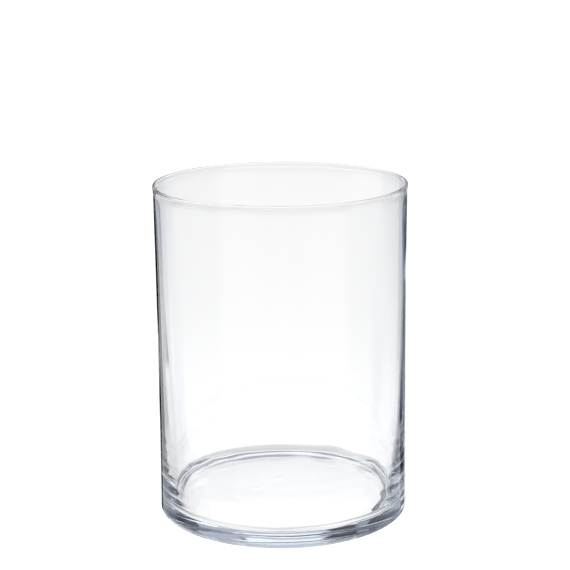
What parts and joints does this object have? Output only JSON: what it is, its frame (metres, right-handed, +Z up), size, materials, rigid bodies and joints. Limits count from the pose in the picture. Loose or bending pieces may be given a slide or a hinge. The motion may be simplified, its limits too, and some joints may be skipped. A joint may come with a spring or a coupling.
{
  "type": "cylinder vase",
  "caption": "Tall straight-sided cylinder vase in clear glass, with a rounded fire-polished rim, a thick heel and base, and a shallow push-up under the foot.",
  "frame": {"origin": "centre of the foot, on the surface that the vase stands on", "axes": "+Z up along the vase's own axis; +X and +Y are free, as the vase is round; the view in the picture looks along +Y"},
  "size_m": [0.1892, 0.1892, 0.251],
  "materials": {
    "clear_glass": "clear soda-lime glass with a faint cool tint, fire-polished gloss"
  },
  "bodies": {
    "root": {"glass_body": "clear_glass"}
  },
  "joints": []
}
